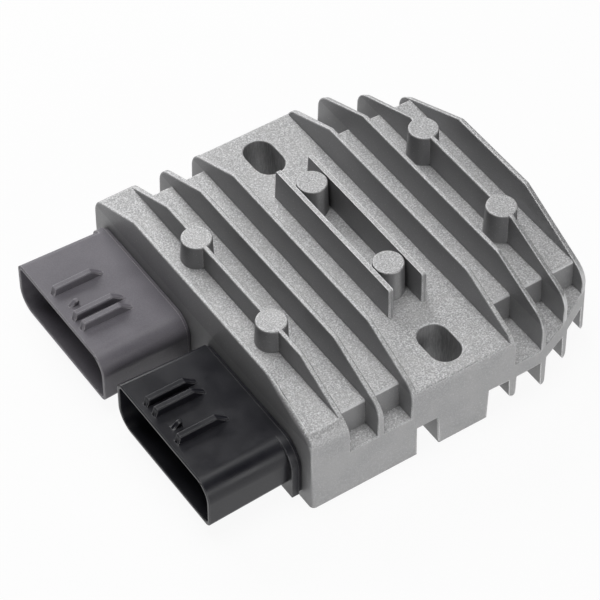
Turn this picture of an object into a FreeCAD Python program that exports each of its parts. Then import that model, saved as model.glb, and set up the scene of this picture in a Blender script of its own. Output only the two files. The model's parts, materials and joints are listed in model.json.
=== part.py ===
import FreeCAD, Part
import math
import os

from FreeCAD import Rotation, Vector

# Voltage regulator rectifier: a die-cast finned housing with a potted well underneath,
# two moulded plug sockets on its front wall and the power electronics inside.
# The frame: X runs along the length with the socket mouths at -X, Y runs along the fins,
# Z is up. The origin is midway between the two mounting slots, on the mounting plane.
# The underside of the box and of both feet lies in z = 0.

doc = FreeCAD.newDocument("Regulator")
sheet = doc.addObject("Spreadsheet::Sheet", "Sizes")

# Every driving size in millimetres; drafts are widths gained for each unit of height
SIZES = {
    # fins and the envelope that trims them
    "fin_pitch": 8.5,
    "fin_tip": 1.1,
    "fin_draft": 0.015,
    "fin_top": 27.05,
    "roof_run": 16.8,
    "knee_narrowing": 6.35,
    "ear_land": 3.55,
    "narrowing_eighth": 3.4,
    "narrowing_last": 8.0,
    "shoulder": 20.0,
    "shoulder_drop_eighth": 0.75,
    "shoulder_drop_last": 2.45,
    "shoulder_round": 5.0,
    "side_flare": 0.5,
    "front_lip": 0.5,
    "front_edge_round": 0.5,
    "front_corner_round": 1.1,
    "rear_lip": 0.8,
    "rear_edge_round": 0.6,
    # decks between the fins
    "main_floor": 18.9,
    "front_rise": 2.0,
    "plate_bottom": 8.05,
    "plate_thick": 4.05,
    "step_ledge": 4.9,
    "far_step_ledge": 11.9,
    "step_draft": 0.07,
    "step_round": 0.8,
    # short middle fins and cast bosses
    "bolt_head_room": 6.25,
    "short_fin_draft": 0.07,
    "short_fin_round": 0.5,
    "boss_tip": 6.9,
    "boss_root": 7.5,
    "boss_inset": 7.0,
    # mounting slots and feet
    "slot_spacing": 66.5,
    "slot_width": 7.2,
    "slot_length": 11.2,
    "foot_wall": 2.75,
    "foot_draft": 0.05,
    # box, well and lower fins
    "box_gap": 5.6,
    "well_past": 2.6,
    "well_inset": 1.9,
    "lower_fin_root": 2.35,
    "lower_fin_tip": 1.65,
    "lower_fin_shift": 0.18,
    "lower_fin_reach": 0.6,
    "first_lower_fin_reach": 2.5,
    "wall": 2.5,
    "side_wall": 7.1,
    "deck_thick": 4.3,
    "potting_recess": 0.8,
    # plug sockets
    "flange_inset": 3.15,
    "socket_mouth": 60.9,
    "plug_clear": 0.45,
    "mouth_flare": 0.4,
    "root_top": 16.0,
    "root_bottom": 4.8,
    "mouth_rise": 0.5,
    "mouth_drop": 0.4,
    "root_wall": 1.3,
    "mouth_wall": 0.8,
    "small_corner": 1.6,
    "big_corner": 4.8,
    "flange_thick": 1.8,
    "flange_side": 1.5,
    "flange_bottom": 1.9,
    "flange_heel": 0.8,
    "flange_heel_inset": 0.4,
    "neck_land": 0.7,
    "neck_drop": 0.7,
    "neck_fit": 0.1,
    "keeper_thick": 2.4,
    "keeper_lip": 0.6,
    # ribs and latch nub on top of each socket
    "rib_front": 1.1,
    "rib_length": 14.0,
    "rib_rise": 2.4,
    "rib_width": 1.5,
    "rib_front_lean": 0.9,
    "rib_rear_lean": 3.9,
    "rib_plus": 5.65,
    "rib_minus": 3.1,
    "key_rib_pitch": 3.3,
    "nub_front": 1.4,
    "nub_length": 3.75,
    "nub_rise": 1.6,
    "nub_width": 1.3,
    "nub_ramp": 2.8,
    "nub_shift": 0.6,
    # blade terminals
    "blade_width": 9.5,
    "blade_thick": 1.2,
    "blade_gap": 1.3,
    "blade_inset": 8.0,
    "blade_tail": 5.0,
    "blade_landing": 1.4,
    # power board and what sits on it
    "sheet_thick": 0.3,
    "board_thick": 1.6,
    "board_margin": 0.8,
    "board_gap": 1.45,
    "part_gap": 1.3,
    "row_gap": 3.0,
    "transistor_length": 9.0,
    "transistor_width": 9.6,
    "transistor_height": 4.4,
    "chip_length": 10.0,
    "chip_width": 7.5,
    "chip_height": 2.3,
    "capacitor_diameter": 8.0,
    "capacitor_height": 9.0,
    "resistor_length": 3.2,
    "resistor_width": 1.6,
    "resistor_height": 0.9,
    "ceramic_length": 3.2,
    "ceramic_width": 2.5,
    "ceramic_height": 1.4,
}
for row, (alias, value) in enumerate(SIZES.items(), start=1):
    sheet.set(f"A{row}", alias)
    sheet.set(f"B{row}", str(value))
    sheet.setAlias(f"B{row}", alias)
doc.recompute()

FIN_COUNT = 10
LAST_FIN = FIN_COUNT - 1
SHORT_FINS = (4, 5)
BLADES = (-1, 0, 1)
TRANSISTOR_COUNT = 6
CERAMIC_COUNT = 2

# How far a cutting or trimmed solid runs past the face that it ends at
PAST = 3.0


def size(alias):
    """The value of one cell."""
    return float(sheet.get(alias))


class Sum(dict):
    """A length that is added up from shares of the sheet's sizes."""

    def plus(self, **shares):
        """The sum with more shares in it."""
        longer = Sum(self)
        for alias, share in shares.items():
            longer[alias] = longer.get(alias, 0) + share
        return longer

    def less(self, other):
        """The sum without another sum."""
        return self.plus(**{alias: -share for alias, share in other.items()})

    def total(self):
        """What it comes to."""
        return sum(size(alias) * share for alias, share in self.items())

    def __str__(self):
        """The sum as an expression."""
        return "( " + " + ".join(f"{alias} * ( {share} )" for alias, share in self.items()) + " )"


def bind(text):
    """An expression whose sheet aliases are written out in full."""
    words = str(text).replace("(", " ( ").replace(")", " ) ").split()
    return " ".join(f"Sizes.{word}" if word in SIZES else word for word in words)


def minus(text):
    """The expression with its sign turned."""
    return f"- ( {text} )"


def across(text):
    """The range from minus a length to the same length."""
    return minus(text), text


# Sizes that follow from others, so that what fits together stays together

BODY_HALF = Sum(slot_spacing=1 / 2, slot_length=1 / 2, ear_land=1)
KNEE_HALF = BODY_HALF.plus(roof_run=-1)
SHORT_FIN_HALF = Sum(slot_spacing=1 / 2, slot_length=-1 / 2, bolt_head_room=-1)
FRONT = Sum(fin_pitch=-LAST_FIN / 2, front_lip=-1)
REAR = Sum(fin_pitch=LAST_FIN / 2, rear_lip=1)
FOOT_HALF = Sum(slot_width=1 / 2, foot_wall=1)
BOX_REAR = Sum(box_gap=-1).less(FOOT_HALF)
WELL_REAR = FOOT_HALF.plus(well_past=1)
WELL_HALF = SHORT_FIN_HALF.plus(well_inset=-1)
LOW_FLOOR = Sum(plate_bottom=1, plate_thick=1)
FRONT_FLOOR = Sum(main_floor=1, front_rise=1)
CEILING = Sum(main_floor=1, deck_thick=-1)
CAVITY_HALF = BODY_HALF.plus(side_wall=-1)
CAVITY_FRONT = FRONT.plus(wall=1)
CAVITY_REAR = BOX_REAR.plus(wall=-1)
BLADE_PITCH = Sum(blade_width=1, blade_gap=1)
ROOT_HALF = BLADE_PITCH.plus(blade_width=1 / 2, plug_clear=1, root_wall=1)
FLANGE_HALF = ROOT_HALF.plus(flange_side=1)
SOCKET_OFFSET = BODY_HALF.plus(flange_inset=-1).less(FLANGE_HALF)
FLANGE_FRONT = FRONT.plus(flange_heel=-1, flange_thick=-1)
NECK_HALF = BLADE_PITCH.plus(blade_tail=1 / 2, neck_land=1)
NECK_TOP = CEILING.plus(neck_drop=-1)
BOARD_TOP = CEILING.plus(sheet_thick=-1)
BOARD_UNDER = BOARD_TOP.plus(board_thick=-1)
BOARD_FRONT = CAVITY_FRONT.plus(keeper_thick=1, board_gap=1)
BOARD_REAR = CAVITY_REAR.plus(board_margin=-1)
BOARD_HALF = CAVITY_HALF.plus(board_margin=-1)
STEM_REAR = WELL_REAR.plus(wall=-1, board_margin=-1)
STEM_HALF = WELL_HALF.plus(wall=-1, board_margin=-1)
BLADE_END = BOARD_FRONT.plus(blade_landing=1)
TRANSISTOR_ROW = BLADE_END.plus(row_gap=1, transistor_length=1 / 2)
TRANSISTOR_SPAN = BOARD_HALF.plus(part_gap=-1, transistor_width=-1 / 2)
RESISTOR_ROW = TRANSISTOR_ROW.plus(transistor_length=1 / 2, part_gap=1, resistor_width=1 / 2)
CHIP_PLACE = RESISTOR_ROW.plus(resistor_width=1 / 2, part_gap=1, chip_length=1 / 2)
CAPACITOR_PLACE = STEM_REAR.plus(part_gap=-1, capacitor_diameter=-1 / 2)
CAPACITOR_SIDE = STEM_HALF.plus(part_gap=-1, capacitor_diameter=-1 / 2)
CERAMIC_PLACE = STEM_REAR.plus(part_gap=-1, ceramic_width=-1 / 2)
CERAMIC_SIDE = STEM_HALF.plus(part_gap=-1, ceramic_length=-1 / 2)
FULL_Y = across(f"{BODY_HALF} + side_flare + {PAST}")


# Shapes that several sub-parts use

def block(name, x, y, z):
    """A box between two expressions on each axis."""
    box = doc.addObject("Part::Box", name)
    for edge, axis, (low, high) in zip(("Length", "Width", "Height"), "xyz", (x, y, z)):
        box.setExpression(edge, bind(f"( {high} ) - ( {low} )"))
        box.setExpression(f"Placement.Base.{axis}", bind(low))
    return box


def tapered(name, z, x_low, x_high, y_low, y_high):
    """A prism between two heights, with an X and a Y range of its own at each."""
    prism = doc.addObject("Part::Wedge", name)
    prism.Placement.Rotation = Rotation(Vector(1, 0, 0), 90)
    ranges = {
        "Ymin": z[0],
        "Ymax": z[1],
        "Xmin": x_low[0],
        "Xmax": x_low[1],
        "X2min": x_high[0],
        "X2max": x_high[1],
        "Zmin": minus(y_low[1]),
        "Zmax": minus(y_low[0]),
        "Z2min": minus(y_high[1]),
        "Z2max": minus(y_high[0]),
    }
    for prop, text in ranges.items():
        prism.setExpression(prop, bind(text))
    return prism


def post(name, radius, height, x, y, z):
    """An upright cylinder standing at a point."""
    rod = doc.addObject("Part::Cylinder", name)
    rod.setExpression("Radius", bind(radius))
    rod.setExpression("Height", bind(height))
    for axis, text in zip("xyz", (x, y, z)):
        rod.setExpression(f"Placement.Base.{axis}", bind(text))
    return rod


def fused(name, pieces):
    """One solid out of several that touch or overlap."""
    union = doc.addObject("Part::MultiFuse", name)
    union.Shapes = pieces
    union.Refine = True
    return union


def without(name, base, tools):
    """The base less the tools."""
    rest = doc.addObject("Part::Cut", name)
    rest.Base = base
    rest.Tool = tools[0] if len(tools) == 1 else fused(f"{name}_tools", tools)
    rest.Refine = True
    return rest


def rounded(name, base, wanted):
    """The base with some edges rounded: wanted gives an edge's two radii, or nothing."""
    doc.recompute()
    edges = [(number, *radii) for number, edge in enumerate(base.Shape.Edges, start=1) if (radii := wanted(edge))]
    fillet = doc.addObject("Part::Fillet", name)
    fillet.Base = base
    fillet.Edges = edges
    return fillet


def shape_of(name, shape):
    """A document object that holds a shape worked out here."""
    feature = doc.addObject("Part::Feature", name)
    feature.Shape = shape
    return feature


def rounded_wire(x, corners):
    """A closed wire in a plane across X, through corners given as (y, z, radius)."""
    points = [Vector(x, y, z) for y, z, _ in corners]
    runs = []
    for i, (_, _, radius) in enumerate(corners):
        here, before, after = points[i], points[i - 1], points[(i + 1) % len(points)]
        if radius == 0:
            runs.append((here, None, here))
            continue
        arrive = (before - here).normalize()
        leave = (after - here).normalize()
        half = arrive.getAngle(leave) / 2
        reach = radius / math.tan(half)
        inward = (arrive + leave).normalize()
        nearest = here + inward * (radius / math.sin(half) - radius)
        runs.append((here + arrive * reach, nearest, here + leave * reach))
    edges = []
    for (_, _, start), (entry, _, _) in zip(runs, runs[1:] + runs[:1]):
        edges.append(Part.LineSegment(start, entry).toShape())
    for entry, middle, leaving in runs:
        if middle is not None:
            edges.append(Part.Arc(entry, middle, leaving).toShape())
    return Part.Wire(Part.__sortEdges__(edges))


def lies_in(edge, axis, value):
    """Whether a whole edge lies in a plane across an axis."""
    return all(abs(getattr(vertex.Point, axis) - value) < 0.01 for vertex in edge.Vertexes)


# The envelope: every full fin ends on it, with a flat top, a slope down to each side
# and a round shoulder; it narrows over the last two fins

def envelope_section(x, knee, half, shoulder):
    """The outline across X, with both shoulders rounded."""
    top, wide, corner = size("fin_top"), half + size("side_flare"), size("shoulder_round")
    return rounded_wire(x, [
        (-wide, 0, 0), (wide, 0, 0), (half, shoulder, corner),
        (knee, top, 0), (-knee, top, 0), (-half, shoulder, corner),
    ])


def envelope():
    """The outer form of the casting before its channels are cut."""
    pitch = size("fin_pitch")
    half_foot = size("fin_tip") / 2 + size("fin_draft") * size("fin_top")
    front, rear = FRONT.total(), REAR.total()
    seventh, eighth, last = (pitch * (LAST_FIN / 2 - back) - half_foot for back in (2, 1, 0))
    full = [KNEE_HALF.total(), BODY_HALF.total(), size("shoulder")]
    narrow = [full[0] - size("knee_narrowing"), full[1] - size("narrowing_eighth"),
              full[2] - size("shoulder_drop_eighth")]
    end = [narrow[0] - size("knee_narrowing"), full[1] - size("narrowing_last"),
           full[2] - size("shoulder_drop_last")]
    beyond = (rear - last) / (last - eighth)
    outermost = [b + (b - a) * beyond for a, b in zip(narrow, end)]
    straight = Part.makeLoft([envelope_section(front, *full), envelope_section(seventh, *full)], True, True)
    closing = Part.makeLoft([
        envelope_section(seventh, *full), envelope_section(eighth, *narrow), envelope_section(rear, *outermost),
    ], True, True)
    sharp = shape_of("envelope_sharp", straight.fuse(closing).removeSplitter())

    def rim(edge):
        if edge.BoundBox.ZMax < 0.01:
            return None
        if lies_in(edge, "x", rear):
            return size("rear_edge_round"), size("rear_edge_round")
        if not lies_in(edge, "x", front):
            return None
        ends = (edge.firstVertex(True).Point, edge.lastVertex(True).Point)
        low = size("shoulder") - size("shoulder_round") / 2
        return tuple(size("front_corner_round" if end.z < low else "front_edge_round") for end in ends)

    return rounded("envelope", sharp, rim)


# Fins above the decks and below the plate

def fin_x(index):
    """Where the middle of a fin lies along X, as an expression."""
    return f"fin_pitch * ( {index - LAST_FIN / 2} )"


def half_fin(level):
    """Half of a fin's thickness at a height, as an expression."""
    return f"( fin_tip / 2 + fin_draft * ( fin_top - {level} ) )"


def fins():
    """The ten upper fins; the two middle ones stop short of the mounting slots."""
    made = []
    for index in range(FIN_COUNT):
        middle = fin_x(index)
        low = [f"{middle} - {half_fin('plate_bottom')}", f"{middle} + {half_fin('plate_bottom')}"]
        high = [f"{middle} - fin_tip / 2", f"{middle} + fin_tip / 2"]
        if index == 0:
            low[0] = high[0] = FRONT
        if index == LAST_FIN:
            low[1] = high[1] = REAR
        y_low = y_high = FULL_Y
        if index in SHORT_FINS:
            y_low = across(f"{SHORT_FIN_HALF} + short_fin_draft * ( fin_top - plate_bottom )")
            y_high = across(SHORT_FIN_HALF)
        fin = tapered(f"fin_{index}", ("plate_bottom", "fin_top"), low, high, y_low, y_high)
        if index in SHORT_FINS:
            fin = rounded(f"short_fin_{index}", fin, top_ends(SHORT_FIN_HALF, "fin_top", "short_fin_round"))
        made.append(fin)
    return made


def top_ends(half, level, radius):
    """A chooser for the two edges along X at the top of a piece's Y ends."""
    def wanted(edge):
        high = lies_in(edge, "z", size(level))
        ends = any(lies_in(edge, "y", side * half.total()) for side in (-1, 1))
        return (size(radius), size(radius)) if high and ends else None
    return wanted


def lower_fins():
    """The four fins under the far plate, each with a round tip."""
    made = []
    for index in range(LAST_FIN - 3, FIN_COUNT):
        reach = "first_lower_fin_reach" if index == LAST_FIN - 3 else "lower_fin_reach"
        middle, start = f"( {fin_x(index)} + lower_fin_shift )", f"( {reach} + lower_fin_tip / 2 )"
        tip = (f"{middle} - lower_fin_tip / 2", f"{middle} + lower_fin_tip / 2")
        root = (f"{middle} - lower_fin_root / 2", f"{middle} + lower_fin_root / 2")
        made.append(tapered(f"lower_fin_{index}", (start, LOW_FLOOR), tip, root, FULL_Y, FULL_Y))
        edge = post(f"lower_fin_tip_{index}", "lower_fin_tip / 2", f"( {FULL_Y[1]} ) * 2",
                    middle, FULL_Y[0], start)
        edge.Placement.Rotation = Rotation(Vector(1, 0, 0), -90)
        made.append(edge)
    return made


def bosses():
    """Six round bosses that reach the fin tops, in three pairs."""
    made = []
    for number, where in enumerate((1, LAST_FIN / 2, LAST_FIN - 1)):
        for name, sign in (("low", "-"), ("high", "+")):
            boss = doc.addObject("Part::Cone", f"boss_{number}_{name}")
            boss.setExpression("Radius1", bind("boss_root / 2"))
            boss.setExpression("Radius2", bind("boss_tip / 2"))
            boss.setExpression("Height", bind("fin_top - main_floor"))
            boss.setExpression("Placement.Base.x", bind(fin_x(where)))
            boss.setExpression("Placement.Base.y", bind(f"0 {sign} ( {SHORT_FIN_HALF} - boss_inset )"))
            boss.setExpression("Placement.Base.z", bind("main_floor"))
            made.append(boss)
    return made


# Decks, box, well and feet

def stepped_deck(name, x, ledge):
    """A raised deck that stops short of the sides, with a drafted and rounded step at each end."""
    half = BODY_HALF.plus(**{ledge: -1})
    foot = f"{half} + step_draft * ( main_floor - {LOW_FLOOR} )"
    deck = tapered(f"{name}_sharp", (LOW_FLOOR, "main_floor"), x, x, across(foot), across(half))
    return rounded(name, deck, top_ends(half, "main_floor", "step_round"))


def decks():
    """The decks that the fins stand on, and the box and the well under them."""
    shared = fin_x(LAST_FIN - 3)
    return [
        block("front_deck", (FRONT, fin_x(1)), FULL_Y, ("0", FRONT_FLOOR)),
        block("box", (fin_x(1), BOX_REAR), FULL_Y, ("0", LOW_FLOOR)),
        stepped_deck("near_deck", (fin_x(1), fin_x(3)), "step_ledge"),
        block("slot_deck", (fin_x(3), shared), FULL_Y, ("plate_bottom", "main_floor")),
        block("far_plate", (shared, REAR), FULL_Y, ("plate_bottom", LOW_FLOOR)),
        stepped_deck("far_deck", (shared, fin_x(LAST_FIN)), "far_step_ledge"),
        block("well", (CAVITY_REAR, WELL_REAR), across(WELL_HALF), ("0", "main_floor")),
    ]


def feet():
    """The two feet under the slots, which run out of the well's sides."""
    low, high = across(FOOT_HALF), across(f"{FOOT_HALF} + foot_draft * ( plate_bottom + wall )")
    inner, outer = f"{WELL_HALF} - wall", FULL_Y[1]
    z = ("0", "plate_bottom + wall")
    return [
        tapered("foot_high", z, low, high, (inner, outer), (inner, outer)),
        tapered("foot_low", z, low, high, (minus(outer), minus(inner)), (minus(outer), minus(inner))),
    ]


def slots():
    """Two through slots, long along Y."""
    made = []
    straight = "( slot_length - slot_width ) / 2"
    low, high = f"0 - {PAST}", f"main_floor + {PAST}"
    for name, middle in (("slot_low", "- slot_spacing / 2"), ("slot_high", "slot_spacing / 2")):
        for end, sign in (("near", "-"), ("far", "+")):
            made.append(post(f"{name}_{end}", "slot_width / 2", f"( {high} ) - ( {low} )", "0",
                             f"{middle} {sign} {straight}", low))
        made.append(block(f"{name}_middle", across("slot_width / 2"),
                          (f"{middle} - {straight}", f"{middle} + {straight}"), (low, high)))
    return made


def room(name, bottom):
    """The space inside the box and the well, from a height up to the ceiling."""
    return fused(name, [
        block(f"{name}_box", (CAVITY_FRONT, CAVITY_REAR), across(CAVITY_HALF), (bottom, CEILING)),
        block(f"{name}_well", (f"{CAVITY_REAR} - wall", f"{WELL_REAR} - wall"),
              across(f"{WELL_HALF} - wall"), (bottom, CEILING)),
    ])


def notches():
    """The notches in the front wall that the socket necks slide up into."""
    made = []
    for name, sign in (("notch_high", "+"), ("notch_low", "-")):
        middle = f"0 {sign} {SOCKET_OFFSET}"
        made.append(block(name, (f"{FRONT} - {PAST}", f"{CAVITY_FRONT} + {PAST}"),
                          (f"{middle} - {NECK_HALF}", f"{middle} + {NECK_HALF}"), (f"0 - {PAST}", NECK_TOP)))
    return made


def housing():
    """The whole casting."""
    solid = fused("housing_solid", fins() + lower_fins() + bosses() + decks() + feet())
    trimmed = doc.addObject("Part::Common", "housing_trimmed")
    trimmed.Base = solid
    trimmed.Tool = envelope()
    trimmed.Refine = True
    return without("heat_sink_housing", trimmed, [room("cavity", f"0 - {PAST}")] + slots() + notches())


# Blade terminals: wide where they plug, narrow through the wall, with a foot on the board

def blade(name, y):
    """One terminal, level with its socket's middle."""
    middle = "( root_top + root_bottom ) / 2"
    z = (f"{middle} - blade_thick / 2", f"{middle} + blade_thick / 2")
    wide = (f"{y} - blade_width / 2", f"{y} + blade_width / 2")
    narrow = (f"{y} - blade_tail / 2", f"{y} + blade_tail / 2")
    return fused(name, [
        block(f"{name}_head", ("blade_inset - socket_mouth", FLANGE_FRONT), wide, z),
        block(f"{name}_tail", (FLANGE_FRONT, BLADE_END), narrow, z),
        block(f"{name}_foot", (f"{BLADE_END} - blade_thick", BLADE_END), narrow, (z[0], BOARD_UNDER)),
    ])


# Plug sockets

def socket_section(x, centre, half, bottom, top, inset, thinner):
    """The socket's outline across X, which has two large and two small corners."""
    low, high = centre - half + inset, centre + half - inset
    small, big = size("small_corner") - thinner / 2, size("big_corner") - thinner
    return rounded_wire(x, [
        (low, bottom + inset, small), (high, bottom + inset, big),
        (high, top - inset, small), (low, top - inset, big),
    ])


def shell(name, centre, mouth_inset=0, root_inset=0):
    """A form that flares from the flange to the mouth, set in from the outer one."""
    half, top, bottom = ROOT_HALF.total(), size("root_top"), size("root_bottom")
    mouth = socket_section(-size("socket_mouth"), centre, half + size("mouth_flare"),
                           bottom - size("mouth_drop"), top + size("mouth_rise"), mouth_inset, mouth_inset)
    root = socket_section(FLANGE_FRONT.total(), centre, half, bottom, top, root_inset, mouth_inset)
    return shape_of(name, Part.makeLoft([mouth, root], True, True))


def flange(name, side, front, back, inset):
    """A plate behind the socket that reaches past its outer side and below it."""
    centre, top, bottom = side * SOCKET_OFFSET.total(), size("root_top"), size("flange_bottom")
    outer, inner = FLANGE_HALF.total() - inset, ROOT_HALF.total() - inset
    big, small = size("big_corner"), size("small_corner")
    if side > 0:
        low, high, small = centre - inner, centre + outer, small + size("flange_side")
    else:
        low, high, big = centre - outer, centre + inner, big + size("flange_side")
    outline = [
        (low, bottom + inset, 0), (high, bottom + inset, 0),
        (high, top - inset, small), (low, top - inset, big),
    ]
    face = Part.Face(rounded_wire(front, outline))
    return shape_of(name, face.extrude(Vector(back - front, 0, 0)))


def ridge(name, y, front, length, rise, width, front_lean, rear_lean):
    """A rib or nub on the socket's roof, sloping at its two ends."""
    start = f"( {front} - socket_mouth )"
    ends = (start, f"{start} + {length}")
    crest = (f"{start} + {front_lean}", f"{start} + {length} - {rear_lean}")
    sides = (f"{y} - {width} / 2", f"{y} + {width} / 2")
    return tapered(name, ("root_top - root_wall / 2", f"root_top + {rise}"), ends, crest, sides, sides)


def socket(name, side, key_rib, blades):
    """One moulded socket with its flange, the neck in the wall and the keeper inside."""
    front, sign = FRONT.total(), "+" if side > 0 else "-"
    heel, plate = front - size("flange_heel"), FLANGE_FRONT.total()
    centre = side * SOCKET_OFFSET.total()
    middle = f"( 0 {sign} {SOCKET_OFFSET} )"
    neck = (f"{middle} - {NECK_HALF} + neck_fit", f"{middle} + {NECK_HALF} - neck_fit")
    keeper = (f"{neck[0]} - keeper_lip", f"{neck[1]} + keeper_lip")
    z = ("potting_recess", f"{NECK_TOP} - neck_fit")
    rib = ("rib_front", "rib_length", "rib_rise", "rib_width", "rib_front_lean", "rib_rear_lean")
    solid = fused(f"{name}_solid", [
        shell(f"{name}_outside", centre),
        flange(f"{name}_flange", side, plate, heel, 0),
        flange(f"{name}_heel", side, heel, front, size("flange_heel_inset")),
        block(f"{name}_neck", (FRONT, CAVITY_FRONT), neck, z),
        block(f"{name}_keeper", (CAVITY_FRONT, f"{CAVITY_FRONT} + keeper_thick"), keeper, z),
        ridge(f"{name}_rib_plus", f"{middle} + rib_plus", *rib),
        ridge(f"{name}_rib_minus", f"{middle} - rib_minus", *rib),
        ridge(f"{name}_rib_key", f"{middle} {key_rib}", *rib),
        ridge(f"{name}_nub", f"{middle} + nub_shift", "nub_front", "nub_length", "nub_rise", "nub_width",
              "nub_ramp", "0"),
    ])
    hollow = shell(f"{name}_inside", centre, size("mouth_wall"), size("root_wall"))
    return without(name, solid, [hollow] + blades)


# The power board, its thermal sheet and its components

def board_outline(name, z):
    """A T-shaped plate that fills the room but for a margin."""
    return fused(name, [
        block(f"{name}_bar", (BOARD_FRONT, BOARD_REAR), across(BOARD_HALF), z),
        block(f"{name}_stem", (f"{BOARD_REAR} - board_margin", STEM_REAR), across(STEM_HALF), z),
    ])


def hung(name, x, y, length, width, height):
    """A flat component under the board, about a point."""
    return block(name, (f"{x} - {length} / 2", f"{x} + {length} / 2"),
                 (f"{y} - {width} / 2", f"{y} + {width} / 2"), (f"{BOARD_UNDER} - {height}", BOARD_UNDER))


def components():
    """What the board carries."""
    made = []
    for number in range(TRANSISTOR_COUNT):
        y = f"{TRANSISTOR_SPAN} * ( {2 * number / (TRANSISTOR_COUNT - 1) - 1} )"
        made.append(hung(f"power_transistor_{number + 1}", TRANSISTOR_ROW, y,
                         "transistor_length", "transistor_width", "transistor_height"))
        made.append(hung(f"gate_resistor_{number + 1}", RESISTOR_ROW, y,
                         "resistor_width", "resistor_length", "resistor_height"))
    made.append(hung("control_chip", CHIP_PLACE, "0", "chip_length", "chip_width", "chip_height"))
    made.append(post("filter_capacitor", "capacitor_diameter / 2", "capacitor_height",
                     CAPACITOR_PLACE, CAPACITOR_SIDE, f"{BOARD_UNDER} - capacitor_height"))
    for number in range(CERAMIC_COUNT):
        y = f"( ceramic_length + part_gap ) * {number} - {CERAMIC_SIDE}"
        made.append(hung(f"ceramic_capacitor_{number + 1}", CERAMIC_PLACE, y,
                         "ceramic_width", "ceramic_length", "ceramic_height"))
    return made


def build():
    """Every sub-part, as the document object that holds its finished shape."""
    stator_blades = [blade(f"stator_blade_{n + 2}", f"{SOCKET_OFFSET} + {BLADE_PITCH} * ( {n} )") for n in BLADES]
    output_blades = [blade(f"output_blade_{n + 2}", f"{BLADE_PITCH} * ( {n} ) - {SOCKET_OFFSET}") for n in BLADES]
    sockets = [
        socket("stator_socket", 1, "- rib_minus - key_rib_pitch", stator_blades),
        socket("output_socket", -1, "+ rib_plus + key_rib_pitch", output_blades),
    ]
    power_board = board_outline("power_board", (BOARD_UNDER, BOARD_TOP))
    thermal_sheet = board_outline("thermal_sheet", (BOARD_TOP, CEILING))
    inside = [power_board, thermal_sheet] + components()
    blades = stator_blades + output_blades
    potting = without("potting_compound", room("fill", "potting_recess"), inside + blades + sockets)
    return [housing(), potting] + sockets + blades + inside


subparts = build()
doc.recompute()

for thing in doc.Objects:
    if "Invalid" in thing.State or "Error" in thing.State:
        raise RuntimeError(f"{thing.Name} did not build: {thing.State}")
for part in subparts:
    part.Label = part.Name
    shape = part.Shape
    if shape.isNull() or not shape.isValid() or len(shape.Solids) != 1:
        raise RuntimeError(f"{part.Name} is not one valid solid: {shape.ShapeType}, {len(shape.Solids)}")

os.makedirs("parts", exist_ok=True)
for part in subparts:
    part.Shape.exportStep(f"parts/{part.Label}.step")
print(f"{len(subparts)} sub-parts written")
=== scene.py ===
import json
import math

import bmesh
import bpy
from mathutils import Matrix, Vector


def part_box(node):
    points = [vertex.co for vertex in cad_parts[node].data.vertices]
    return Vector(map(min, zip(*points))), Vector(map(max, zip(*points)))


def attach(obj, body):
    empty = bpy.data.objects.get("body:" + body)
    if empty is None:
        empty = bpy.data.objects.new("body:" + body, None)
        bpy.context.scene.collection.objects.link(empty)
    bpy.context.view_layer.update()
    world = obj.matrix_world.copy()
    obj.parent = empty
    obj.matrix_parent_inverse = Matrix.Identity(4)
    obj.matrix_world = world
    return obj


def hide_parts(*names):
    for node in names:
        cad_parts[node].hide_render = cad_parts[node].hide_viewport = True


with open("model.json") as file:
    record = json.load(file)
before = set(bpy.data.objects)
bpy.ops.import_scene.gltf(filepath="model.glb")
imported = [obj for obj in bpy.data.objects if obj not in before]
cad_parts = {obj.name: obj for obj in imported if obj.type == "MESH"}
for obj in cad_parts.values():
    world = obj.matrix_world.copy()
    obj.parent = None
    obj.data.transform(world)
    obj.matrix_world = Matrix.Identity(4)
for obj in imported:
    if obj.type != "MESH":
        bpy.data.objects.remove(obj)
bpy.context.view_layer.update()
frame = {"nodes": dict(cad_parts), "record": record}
nodes = frame["nodes"]
scene = bpy.context.scene

MM = 0.001

# An edge is real where it bends this sharply, or softly between two broad faces
EDGE_SHARP, EDGE_SOFT, BROAD = math.radians(38), math.radians(8), 1.4 * MM
# Two faces that bend less than this at their edge are one
FLAT = math.radians(0.4)
# No shorter edge is broken, and the rounding takes no more than this share of the narrower face
EDGE_LEAST, EDGE_SHARE = 0.12 * MM, 0.38
# Corners nearer than this are one, before the rounding and after it
JOIN, WELD = 0.004 * MM, 0.002 * MM
# How much of a face may be covered twice before it counts as folded
FOLD_AREA = 0.05 * MM * MM
# How many facets a rounding has, and its full width on each kind of piece
ROUNDING_STEPS = 3
CASTING_ROUND, MOULDING_ROUND, BLADE_ROUND = 0.28 * MM, 0.3 * MM, 0.3 * MM


# Pieces

def bare_mesh(node):
    """A node's mesh with its corners joined up, its flat faces whole and its normals its own."""
    mesh = nodes[node].data.copy()
    mesh.name = node + "_form"
    if "custom_normal" in mesh.attributes:
        mesh.attributes.remove(mesh.attributes["custom_normal"])
    form = bmesh.new()
    form.from_mesh(mesh)
    bmesh.ops.remove_doubles(form, verts=form.verts, dist=JOIN)
    bmesh.ops.dissolve_limit(form, angle_limit=FLAT, verts=form.verts, edges=form.edges)
    form.to_mesh(mesh)
    form.free()
    return mesh


def reach(face, edge):
    """How far a face runs from one of its edges."""
    start, end = (corner.co for corner in edge.verts)
    along = (end - start).normalized()
    offsets = [corner.co - start for corner in face.verts]
    return max((offset - along * offset.dot(along)).length for offset in offsets)


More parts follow.
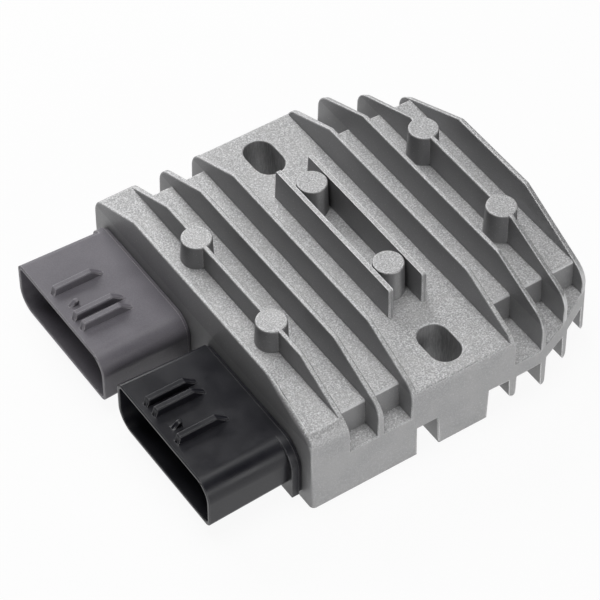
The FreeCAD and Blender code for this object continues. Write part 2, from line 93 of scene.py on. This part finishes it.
def break_edges(mesh, width, share):
    """Marks the real edges, and says how wide each outer one is broken: a facet of a round isn't one."""
    form = bmesh.new()
    form.from_mesh(mesh)
    weight = form.edges.layers.float.new("bevel_weight_edge")
    for edge in form.edges:
        if len(edge.link_faces) != 2 or edge.calc_length() < EDGE_LEAST:
            edge.smooth = len(edge.link_faces) == 2 and edge.calc_face_angle() < EDGE_SHARP
            continue
        angle = edge.calc_face_angle()
        room = min(reach(face, edge) for face in edge.link_faces)
        real = angle > EDGE_SHARP or (angle > EDGE_SOFT and room > BROAD)
        edge.smooth = not real
        if real and edge.is_convex:
            middle = (edge.verts[0].co + edge.verts[1].co) / 2
            edge[weight] = min(share(middle), room * EDGE_SHARE / width)
    # Faces that still meet in one plane go round a hole, and are cut up
    rings = {face for edge in form.edges if len(edge.link_faces) == 2 and edge.calc_face_angle() < FLAT
             for face in edge.link_faces if len(face.verts) > 4}
    bmesh.ops.triangulate(form, faces=sorted(rings, key=lambda face: face.index))
    for face in form.faces:
        face.smooth = True
    form.to_mesh(mesh)
    form.free()


def cut_folded(piece, sharp):
    """Cuts up the flat faces that the rounding would fold over themselves, or leaves their edges sharp."""
    mesh = piece.data
    number = mesh.attributes.new("number", "INT", "FACE")
    number.data.foreach_set("value", range(len(mesh.polygons)))
    rounded = piece.evaluated_get(bpy.context.evaluated_depsgraph_get()).to_mesh()
    rounded.calc_loop_triangles()
    covered = [0.0] * len(rounded.polygons)
    for triangle in rounded.loop_triangles:
        covered[triangle.polygon_index] += triangle.area
    origin = rounded.attributes["number"].data
    folded = {origin[face.index].value for face in rounded.polygons
              if len(face.vertices) > 4 and covered[face.index] - face.area > FOLD_AREA}
    form = bmesh.new()
    form.from_mesh(mesh)
    form.faces.ensure_lookup_table()
    weight = form.edges.layers.float["bevel_weight_edge"]
    faces = [form.faces[index] for index in sorted(folded)]
    if sharp:
        for edge in {edge for face in faces for edge in face.edges}:
            edge[weight] = 0
    else:
        bmesh.ops.triangulate(form, faces=faces)
    form.to_mesh(mesh)
    form.free()
    mesh.attributes.remove(mesh.attributes["number"])


def finished(node, name, slot, width, share=lambda place: 1):
    """A copy of a CAD solid with its outer edges broken as the tool or the mould leaves them."""
    mesh = bare_mesh(node)
    break_edges(mesh, width, share)
    piece = bpy.data.objects.new(name, mesh)
    scene.collection.objects.link(piece)
    mesh.materials.clear()
    mesh.materials.append(SLOT_FINISH[slot])
    broken = piece.modifiers.new("broken_edges", "BEVEL")
    broken.width = width
    broken.segments = ROUNDING_STEPS
    broken.limit_method = "WEIGHT"
    broken.use_clamp_overlap = False
    cut_folded(piece, sharp=False)
    cut_folded(piece, sharp=True)
    joined = piece.modifiers.new("joined_corners", "WELD")
    joined.merge_threshold = WELD
    level = piece.modifiers.new("level_faces", "WEIGHTED_NORMAL")
    level.keep_sharp = True
    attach(piece, "root")
    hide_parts(node)


# Shader nodes

def shader_node(tree, kind, values=(), **settings):
    """One more node: settings are its own, and values go on its inputs or come from other outputs."""
    made = tree.nodes.new("ShaderNode" + kind)
    for setting, value in settings.items():
        setattr(made, setting, value)
    for place, value in dict(values).items():
        if isinstance(value, bpy.types.NodeSocket):
            tree.links.new(value, made.inputs[place])
        else:
            made.inputs[place].default_value = value
    return made


def group(name, inputs, outputs):
    """A shader node group with named sockets, and its entry."""
    tree = bpy.data.node_groups.new(name, "ShaderNodeTree")
    for label, default in inputs.items():
        socket = tree.interface.new_socket(label, in_out="INPUT", socket_type="NodeSocketFloat")
        socket.default_value = default
    for label in outputs:
        tree.interface.new_socket(label, in_out="OUTPUT", socket_type="NodeSocketFloat")
    return tree, tree.nodes.new("NodeGroupInput")


def leave(tree, **results):
    """Sends the results out of the group."""
    end = tree.nodes.new("NodeGroupOutput")
    for label, value in results.items():
        tree.links.new(value, end.inputs[label.replace("_", " ")])


def worked_out(tree, operation, *values):
    """The output of a Math node."""
    return shader_node(tree, "Math", dict(enumerate(values)), operation=operation).outputs[0]


def product(tree, first, *others):
    """The product of two or more values."""
    for other in others:
        first = worked_out(tree, "MULTIPLY", first, other)
    return first


def per_metre(tree, per_mm):
    """A number for each millimetre as a number for each metre."""
    return product(tree, per_mm, 1 / MM)


def spread(tree, value, low, high, out_low=0.0, out_high=1.0, smooth=True):
    """A value's range low to high, carried over to another range."""
    kind = "SMOOTHSTEP" if smooth else "LINEAR"
    values = {"Value": value, "From Min": low, "From Max": high, "To Min": out_low, "To Max": out_high}
    return shader_node(tree, "MapRange", values, interpolation_type=kind).outputs["Result"]


def noise(tree, where, scale, detail, roughness=0.5):
    """A noise that goes from nothing to one."""
    values = {"Vector": where, "Scale": scale, "Detail": detail, "Roughness": roughness}
    return shader_node(tree, "TexNoise", values).outputs[0]


def place_on_piece(tree):
    """The place on the piece, in metres."""
    return shader_node(tree, "TexCoord").outputs["Object"]


def parts_of(tree, vector):
    """The X, Y and Z of a vector."""
    return shader_node(tree, "SeparateXYZ", {0: vector}).outputs


# Effects that several finishes use

# How many rays look at what lies round an edge, and into a hollow for painted shade
EDGE_RAYS, RECESS_RAYS = 6, 8


def grain_group():
    """The grain of a blasted or eroded face: height, speckle, a mask for painted glints on the brightest
    grains, and a slow mottle.
    """
    tree, entry = group("surface_grain", {"Grains per mm": 3.0, "Mottle per mm": 0.25},
                        ("Height", "Speckle", "Glint", "Mottle"))
    where = place_on_piece(tree)
    fine = per_metre(tree, entry.outputs["Grains per mm"])
    slow = per_metre(tree, entry.outputs["Mottle per mm"])
    grains = noise(tree, where, fine, 2.0, 0.6)
    cells = shader_node(tree, "TexVoronoi", {"Vector": where, "Scale": fine}, feature="SMOOTH_F1")
    clouds = noise(tree, where, slow, 3.0, 0.55)
    leave(tree,
          Height=worked_out(tree, "MULTIPLY_ADD", cells.outputs["Distance"], 0.3, grains),
          Speckle=spread(tree, grains, 0.36, 0.64),
          Glint=spread(tree, grains, 0.6, 0.7),
          Mottle=spread(tree, clouds, 0.35, 0.65))
    return tree


def worn_and_highlit_edge_group():
    """Where a solid turns outward sharply: in patches, a mask for wear with a painted highlight, and evenly,
    a mask for painted highlight.
    """
    tree, entry = group("worn_and_highlit_edge", {"Radius mm": 0.5, "Patch per mm": 0.6}, ("Mask", "Even mask"))
    radius = product(tree, entry.outputs["Radius mm"], MM)
    turned = shader_node(tree, "Bevel", {"Radius": radius}, samples=EDGE_RAYS).outputs["Normal"]
    own = shader_node(tree, "NewGeometry").outputs["Normal"]
    alike = shader_node(tree, "VectorMath", {0: turned, 1: own}, operation="DOT_PRODUCT").outputs["Value"]
    edge = spread(tree, alike, 0.995, 0.9, smooth=False)
    open_side = shader_node(tree, "AmbientOcclusion", {"Distance": radius}, samples=EDGE_RAYS).outputs["AO"]
    outward = product(tree, edge, spread(tree, open_side, 0.75, 0.95))
    scale = per_metre(tree, entry.outputs["Patch per mm"])
    patches = noise(tree, place_on_piece(tree), scale, 4.0, 0.7)
    leave(tree, Mask=product(tree, outward, spread(tree, patches, 0.3, 0.62)), Even_mask=outward)
    return tree


def recess_group():
    """Where a face lies close to another one: a mask for painted shade."""
    tree, entry = group("shaded_recess", {"Depth mm": 1.2}, ("Mask",))
    depth = product(tree, entry.outputs["Depth mm"], MM)
    openness = shader_node(tree, "AmbientOcclusion", {"Distance": depth}, samples=RECESS_RAYS).outputs["AO"]
    leave(tree, Mask=spread(tree, openness, 0.75, 0.2))
    return tree


GRAIN, EDGE, RECESS = grain_group(), worn_and_highlit_edge_group(), recess_group()


# Finishes

class Finish:
    """One material, with its nodes added by short calls."""

    def __init__(self, name, **sockets):
        self.material = bpy.data.materials.new(name)
        self.material.use_nodes = True
        self.tree = self.material.node_tree
        self.shader = self.tree.nodes["Principled BSDF"]
        self.set(**sockets)

    def set(self, **sockets):
        """Sets or joins up sockets of the shader."""
        for label, value in sockets.items():
            place = self.shader.inputs[label.replace("_", " ")]
            if isinstance(value, bpy.types.NodeSocket):
                self.tree.links.new(value, place)
            else:
                place.default_value = value

    def use(self, effect, **values):
        """Places a node group and returns its outputs."""
        placed = self.tree.nodes.new("ShaderNodeGroup")
        placed.node_tree = effect
        for label, value in values.items():
            placed.inputs[label.replace("_", " ")].default_value = value
        return placed.outputs

    def mix(self, mask, low, high, amount=1.0):
        """A colour that goes from low to high where the mask does, by the amount given."""
        if amount != 1.0:
            mask = product(self.tree, mask, amount)
        made = shader_node(self.tree, "Mix", {0: mask}, data_type="RGBA")
        for place, colour in ((6, low), (7, high)):
            if isinstance(colour, bpy.types.NodeSocket):
                self.tree.links.new(colour, made.inputs[place])
            else:
                made.inputs[place].default_value = (*colour, 1)
        return made.outputs[2]

    def range(self, mask, low, high):
        """A value that goes from low to high as the mask goes from nothing to all."""
        return spread(self.tree, mask, 0.0, 1.0, low, high, smooth=False)

    def add(self, *values):
        """The sum of two values."""
        return worked_out(self.tree, "ADD", *values)

    def bump(self, height, depth, strength=1.0, under=None):
        """A normal from a height whose full range is the depth in millimetres."""
        values = {"Height": height, "Distance": depth * MM, "Strength": strength}
        if under is not None:
            values["Normal"] = under
        return shader_node(self.tree, "Bump", values).outputs["Normal"]


# Where the casting's painted shade, painted highlights and drawn streaks change, in metres: each mask rises
# or falls between two bounds
PAST_DECK_TOP = (18.7 * MM, 19.0 * MM)
PAST_STEP_TOP = (18.9 * MM, 19.2 * MM)
PAST_STEP_FOOT = (11.8 * MM, 12.4 * MM)
PAST_STEP_END = (38.6 * MM, 39.4 * MM)
PAST_EAR = (7.0 * MM, 7.5 * MM)
PAST_SLOT_SIDE = (3.75 * MM, 4.2 * MM)
PAST_SLOT_END = (39.2 * MM, 40.5 * MM)
FALLING = (1.0, 0.0)

# Grains of the drawn streaks for each metre along X, Y and Z: long ones, up and down
STREAKS_PER_METRE = (4 / MM, 4 / MM, 0.4 / MM)

# The dark, pale, cloud and streak tones are the metal's own; the tones for faces across X, for fins, for the
# steps, for recesses and for the feet of walls are painted shade; the glint and edge tones are painted
# highlights, and the last tone is edge wear with a painted highlight
CAST_DARK, CAST_PALE, CAST_CLOUD = (0.36, 0.36, 0.365), (0.68, 0.68, 0.685), (0.54, 0.535, 0.53)
FLANK_PAINTED_SHADE, FIN_PAINTED_SHADE, STEP_PAINTED_SHADE = (0.23, 0.23, 0.235), (0.17, 0.17, 0.175), (0.20, 0.20, 0.205)
STREAK_TONE, RECESS_PAINTED_SHADE, FOOT_PAINTED_SHADE = (0.80, 0.80, 0.805), (0.17, 0.17, 0.175), (0.08, 0.08, 0.08)
PAINTED_GLINT_TONE, PAINTED_EDGE_HIGHLIGHT, WORN_AND_HIGHLIT_EDGE_TONE = (0.90, 0.90, 0.91), (0.93, 0.93, 0.935), (0.97, 0.97, 0.975)


def casting_zones(tree):
    """Masks by place: the slots' walls, what stands above the decks, and the steps between the decks."""
    place = parts_of(tree, place_on_piece(tree))
    side, end = (worked_out(tree, "ABSOLUTE", place[axis]) for axis in "XY")
    above = spread(tree, place["Z"], *PAST_DECK_TOP)
    in_slot = product(tree, spread(tree, side, *PAST_SLOT_SIDE, *FALLING),
                      spread(tree, end, *PAST_SLOT_END, *FALLING),
                      spread(tree, place["Z"], *PAST_DECK_TOP, *FALLING))
    stepped = product(tree, spread(tree, end, *PAST_STEP_END, *FALLING),
                      spread(tree, side, *PAST_EAR),
                      spread(tree, place["Z"], *PAST_STEP_FOOT),
                      spread(tree, place["Z"], *PAST_STEP_TOP, *FALLING))
    return in_slot, above, stepped


def cast_aluminium():
    """Die-cast alloy, blasted all over: coarse on what faces up, finer on its walls; painted shade on upright
    faces, steps, recesses and feet of walls, painted glints on the grains, and at the edges wear with painted
    highlights.
    """
    f = Finish("blasted_cast_aluminium")
    tree = f.tree
    grain = f.use(GRAIN, Grains_per_mm=3.0, Mottle_per_mm=0.14)
    edge = f.use(EDGE, Radius_mm=0.45, Patch_per_mm=0.5)
    painted_recess_shade = f.use(RECESS, Depth_mm=6.0)
    painted_foot_shade = f.use(RECESS, Depth_mm=0.9)
    facing = parts_of(tree, shader_node(tree, "NewGeometry").outputs["Normal"])
    upward = facing["Z"]
    across, along = (worked_out(tree, "ABSOLUTE", facing[axis]) for axis in "XY")
    in_slot, above, stepped = casting_zones(tree)
    # Painted shade: upright faces are darker, those across X, the bosses' sides and the steps
    painted_boss_shade = product(tree, spread(tree, product(tree, across, along), 0.1, 0.4), above)
    painted_flank_shade = worked_out(tree, "MAXIMUM", spread(tree, across, 0.5, 0.95), painted_boss_shade)
    painted_flank_shade = product(tree, painted_flank_shade, f.range(in_slot, 1.0, 0.8))
    painted_step_shade = product(tree, spread(tree, along, 0.9, 0.98), stepped)
    # Painted highlight on the rounds along the tops of the steps
    painted_crest_highlight = product(tree, spread(tree, along, 0.25, 0.5), spread(tree, along, 0.97, 0.85), stepped)
    drawn = shader_node(tree, "VectorMath", {0: place_on_piece(tree), 1: STREAKS_PER_METRE},
                        operation="MULTIPLY").outputs[0]
    streaks = product(tree, spread(tree, noise(tree, drawn, 1.0, 2.0), 0.42, 0.62), in_slot)
    blasted = spread(tree, upward, 0.1, 0.8, 0.3, 1.0)
    colour = f.mix(product(tree, grain["Speckle"], blasted), CAST_DARK, CAST_PALE)
    colour = f.mix(grain["Mottle"], colour, CAST_CLOUD, 0.25)
    # Painted shade on faces across X and the bosses' sides, deeper on the fins above the decks
    colour = f.mix(painted_flank_shade, colour, FLANK_PAINTED_SHADE, 0.58)
    colour = f.mix(product(tree, painted_flank_shade, above), colour, FIN_PAINTED_SHADE, 0.35)
    # Painted shade on the steps' faces
    colour = f.mix(painted_step_shade, colour, STEP_PAINTED_SHADE, 0.42)
    colour = f.mix(painted_crest_highlight, colour, PAINTED_EDGE_HIGHLIGHT, 0.5)
    colour = f.mix(streaks, colour, STREAK_TONE, 0.25)
    # Painted shade: what faces up darkens in deep recesses, and every face darkens close to the foot of a
    # wall
    colour = f.mix(product(tree, painted_recess_shade["Mask"], upward), colour, RECESS_PAINTED_SHADE, 0.3)
    colour = f.mix(painted_foot_shade["Mask"], colour, FOOT_PAINTED_SHADE, 0.6)
    # Painted glints on the brightest grains, most on what faces up
    colour = f.mix(product(tree, grain["Glint"], blasted), colour, PAINTED_GLINT_TONE, 0.6)
    # Painted highlight along every outward edge, then worn patches that carry a painted highlight too
    colour = f.mix(edge["Even mask"], colour, PAINTED_EDGE_HIGHLIGHT, 0.55)
    colour = f.mix(edge["Mask"], colour, WORN_AND_HIGHLIT_EDGE_TONE, 0.85)
    rough = f.add(f.range(grain["Speckle"], 0.50, 0.66), f.range(edge["Mask"], 0.0, -0.16))
    bare = f.add(f.range(grain["Speckle"], 0.50, 0.70), f.range(edge["Mask"], 0.0, -0.2))
    height = product(tree, grain["Height"], blasted)
    f.set(Base_Color=colour, Roughness=rough, Metallic=bare, Normal=f.bump(height, 0.10))
    return f.material


def moulded_plastic(name, body, pale, edge_wear_and_highlight, roughness):
    """Glass-filled nylon from a finely eroded mould: satin, a little paler along its edges from wear and
    painted highlights.
    """
    f = Finish(name, Specular_IOR_Level=0.45)
    grain = f.use(GRAIN, Grains_per_mm=4.0, Mottle_per_mm=0.12)
    edge = f.use(EDGE, Radius_mm=0.4, Patch_per_mm=0.7)
    colour = f.mix(grain["Speckle"], body, pale, 0.3)
    colour = f.mix(grain["Mottle"], colour, pale, 0.25)
    # Painted highlight along every outward edge, and worn patches that carry a painted highlight too
    colour = f.mix(edge["Even mask"], colour, edge_wear_and_highlight, 0.6)
    colour = f.mix(edge["Mask"], colour, edge_wear_and_highlight, 0.6)
    rough = f.add(f.range(grain["Mottle"], roughness - 0.04, roughness + 0.05),
                  f.range(edge["Mask"], 0.0, -0.1))
    f.set(Base_Color=colour, Roughness=rough, Normal=f.bump(grain["Height"], 0.012, 0.5))
    return f.material


def tinned_brass():
    """Stamped brass under bright tin, with a trace of the brass at its sheared edges."""
    f = Finish("tinned_brass", Metallic=1.0)
    grain = f.use(GRAIN, Grains_per_mm=5.0, Mottle_per_mm=0.4)
    edge = f.use(EDGE, Radius_mm=0.2, Patch_per_mm=1.2)
    colour = f.mix(grain["Mottle"], (0.72, 0.71, 0.68), (0.80, 0.79, 0.76))
    colour = f.mix(edge["Mask"], colour, (0.78, 0.62, 0.34), 0.6)
    f.set(Base_Color=colour, Roughness=f.range(grain["Speckle"], 0.22, 0.34),
          Normal=f.bump(grain["Height"], 0.01, 0.5))
    return f.material


def potting_resin():
    """Poured resin: nearly level, glossy, with slow ripples and fine dust."""
    f = Finish("poured_resin", Coat_Weight=0.3, Coat_Roughness=0.18)
    ripples = f.use(GRAIN, Grains_per_mm=0.16, Mottle_per_mm=0.05)
    dust = f.use(GRAIN, Grains_per_mm=4.0, Mottle_per_mm=0.5)
    colour = f.mix(ripples["Mottle"], (0.012, 0.012, 0.014), (0.022, 0.021, 0.022))
    colour = f.mix(dust["Mottle"], colour, (0.06, 0.058, 0.055), 0.25)
    swell = f.bump(ripples["Height"], 0.25, 0.6)
    f.set(Base_Color=colour, Roughness=f.range(dust["Mottle"], 0.22, 0.42),
          Normal=f.bump(dust["Height"], 0.008, 0.4, swell))
    return f.material


def small_part(name, low, high, roughness, metallic=0.0):
    """What lies inside the resin: a plain body colour with a fine grain and paler edges."""
    f = Finish(name, Metallic=metallic)
    grain = f.use(GRAIN, Grains_per_mm=2.0, Mottle_per_mm=0.4)
    edge = f.use(EDGE, Radius_mm=0.15, Patch_per_mm=1.0)
    colour = f.mix(edge["Mask"], f.mix(grain["Mottle"], low, high), high, 0.6)
    f.set(Base_Color=colour, Roughness=f.range(grain["Speckle"], roughness - 0.06, roughness + 0.06),
          Normal=f.bump(grain["Height"], 0.01, 0.5))
    return f.material


SLOT_FINISH = {
    "cast_aluminium": cast_aluminium(),
    "grey_plastic": moulded_plastic("grey_moulding", (0.135, 0.127, 0.146), (0.22, 0.21, 0.23),
                                    (0.60, 0.58, 0.58), 0.40),
    "black_plastic": moulded_plastic("black_moulding", (0.007, 0.007, 0.0105), (0.02, 0.02, 0.026),
                                     (0.20, 0.20, 0.205), 0.34),
    "tinned_brass": tinned_brass(),
    "potting_resin": potting_resin(),
    "board_laminate": small_part("board_laminate", (0.02, 0.10, 0.045), (0.035, 0.16, 0.07), 0.4),
    "silicone_sheet": small_part("silicone_sheet", (0.33, 0.37, 0.42), (0.42, 0.46, 0.50), 0.7),
    "transistor_resin": small_part("chip_body", (0.012, 0.012, 0.013), (0.035, 0.035, 0.036), 0.45),
    "capacitor_can": small_part("capacitor_can", (0.52, 0.52, 0.54), (0.66, 0.66, 0.68), 0.3, 1.0),
    "ceramic": small_part("fired_ceramic", (0.30, 0.20, 0.12), (0.42, 0.30, 0.20), 0.5),
}

for part in frame["record"]["subparts"]:
    faces = nodes[part["node"]].data
    faces.materials.clear()
    faces.materials.append(SLOT_FINISH[part["material_slot"]])


# How wide each edge is broken, as a share of the piece's full rounding

RIB_RISE = 2.4 * MM
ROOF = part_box("stator_socket")[1].z - RIB_RISE
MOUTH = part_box("stator_socket")[0].x
ON_RIBS, AT_MOUTH = ROOF + 0.3 * MM, MOUTH + 0.05 * MM
RIM_SHARE, WALL_SHARE = 0.6, 0.4
UNDERSIDE, LOWER_FINS_TOP, LOWER_FINS_FRONT = 0.05 * MM, 8 * MM, 10.5 * MM


def moulding_edge(place):
    """Ribs and nub have full rounds, the mouth's rim a soft edge, and the rest a small one."""
    if place.z > ON_RIBS:
        return 1
    return RIM_SHARE if place.x < AT_MOUTH else WALL_SHARE


def casting_edge(place):
    """The casting is blasted round, except on its flat underside and on the thin lower fins."""
    lower_fins = place.z < LOWER_FINS_TOP and place.x > LOWER_FINS_FRONT
    return 0 if place.z < UNDERSIDE or lower_fins else 1


finished("heat_sink_housing", "casting", "cast_aluminium", CASTING_ROUND, casting_edge)
finished("stator_socket", "grey_socket", "grey_plastic", MOULDING_ROUND, moulding_edge)
finished("output_socket", "black_socket", "black_plastic", MOULDING_ROUND, moulding_edge)
for blade in [f"{side}_blade_{number}" for side in ("stator", "output") for number in (1, 2, 3)]:
    finished(blade, blade + "_tinned", "tinned_brass", BLADE_ROUND)


# Camera, fitted to the photograph

AZIMUTH, ELEVATION, ROLL = math.radians(33.96), math.radians(47.58), math.radians(-0.07)
TARGET = Vector((-15.48, -3.87, 15.0)) * MM
DISTANCE = 635.72 * MM
FOCAL_PIXELS, FRAME_PIXELS, SENSOR = 2962.92, 600, 36


def photo_camera():
    """The camera where the photograph was taken from."""
    ahead = Vector((math.cos(ELEVATION) * math.sin(AZIMUTH), math.cos(ELEVATION) * math.cos(AZIMUTH),
                    -math.sin(ELEVATION)))
    level = Vector((math.cos(AZIMUTH), -math.sin(AZIMUTH), 0))
    upright = level.cross(ahead)
    right = level * math.cos(ROLL) + upright * math.sin(ROLL)
    up = upright * math.cos(ROLL) - level * math.sin(ROLL)
    lens = bpy.data.cameras.new("photo_camera")
    lens.sensor_width = SENSOR
    lens.lens = FOCAL_PIXELS / FRAME_PIXELS * SENSOR
    camera = bpy.data.objects.new("photo_camera", lens)
    scene.collection.objects.link(camera)
    place = TARGET - ahead * DISTANCE
    turn = Matrix((right, up, -ahead)).transposed().to_4x4()
    camera.matrix_world = Matrix.Translation(place) @ turn
    scene.camera = camera


# Studio

WORLD_DIM, WORLD_PALE, HORIZON = 0.0, 0.3, (0.02, 0.35)
FLOOR_HALF, FLOOR_LEVEL = 4.0, -0.02 * MM
FLOOR_COLOUR, FLOOR_ROUGHNESS, FLOOR_WHITE = (0.88, 0.88, 0.88, 1), 0.9, 0.93

# Name, direction from the object, distance, width and height in metres, power in watts
LAMPS = (
    ("top_box", (-0.04, 0.05, 1.0), 0.50, 0.32, 0.32, 1.5),
    ("back_box", (-0.02, 0.85, 0.52), 0.62, 0.5, 0.3, 2.2),
    ("front_box", (0.05, -0.95, 0.30), 0.8, 0.8, 0.3, 2.1),
)


def studio_world():
    """Soft room light: pale at the horizon and dark above it."""
    world = bpy.data.worlds.new("studio")
    world.use_nodes = True
    scene.world = world
    tree = world.node_tree
    facing = parts_of(tree, shader_node(tree, "TexCoord").outputs["Generated"])
    light = spread(tree, facing["Z"], *HORIZON, WORLD_PALE, WORLD_DIM)
    tree.links.new(light, tree.nodes["Background"].inputs["Color"])


def pale_floor():
    """A white floor that keeps the object's shadow."""
    mesh = bpy.data.meshes.new("floor")
    corners = [(x * FLOOR_HALF, y * FLOOR_HALF, FLOOR_LEVEL) for x, y in ((-1, -1), (1, -1), (1, 1), (-1, 1))]
    mesh.from_pydata(corners, [], [(0, 1, 2, 3)])
    floor = bpy.data.objects.new("floor", mesh)
    scene.collection.objects.link(floor)
    material = bpy.data.materials.new("floor_paper")
    material.use_nodes = True
    tree = material.node_tree
    paper = tree.nodes["Principled BSDF"]
    paper.inputs["Base Color"].default_value = FLOOR_COLOUR
    paper.inputs["Roughness"].default_value = FLOOR_ROUGHNESS
    white = shader_node(tree, "Emission", {"Color": (1, 1, 1, 1), "Strength": 1.0}).outputs[0]
    rays = shader_node(tree, "LightPath").outputs
    seen = worked_out(tree, "MAXIMUM", rays["Is Camera Ray"], rays["Is Glossy Ray"])
    seen = worked_out(tree, "MAXIMUM", seen, rays["Is Transmission Ray"])
    share = product(tree, seen, FLOOR_WHITE)
    mixed = shader_node(tree, "MixShader", {0: share, 1: paper.outputs[0], 2: white}).outputs[0]
    tree.links.new(mixed, tree.nodes["Material Output"].inputs["Surface"])
    mesh.materials.append(material)


def softbox(name, toward, distance, wide, high, power):
    """A rectangular lamp that faces the object from a direction."""
    lamp = bpy.data.lights.new(name, "AREA")
    lamp.shape = "RECTANGLE"
    lamp.size, lamp.size_y = wide, high
    lamp.energy = power
    box = bpy.data.objects.new(name, lamp)
    scene.collection.objects.link(box)
    place = Vector(toward).normalized()
    box.location = TARGET + place * distance
    box.rotation_euler = place.to_track_quat("Z", "Y").to_euler()


photo_camera()
studio_world()
pale_floor()
for settings in LAMPS:
    softbox(*settings)

scene.view_settings.view_transform = "Standard"
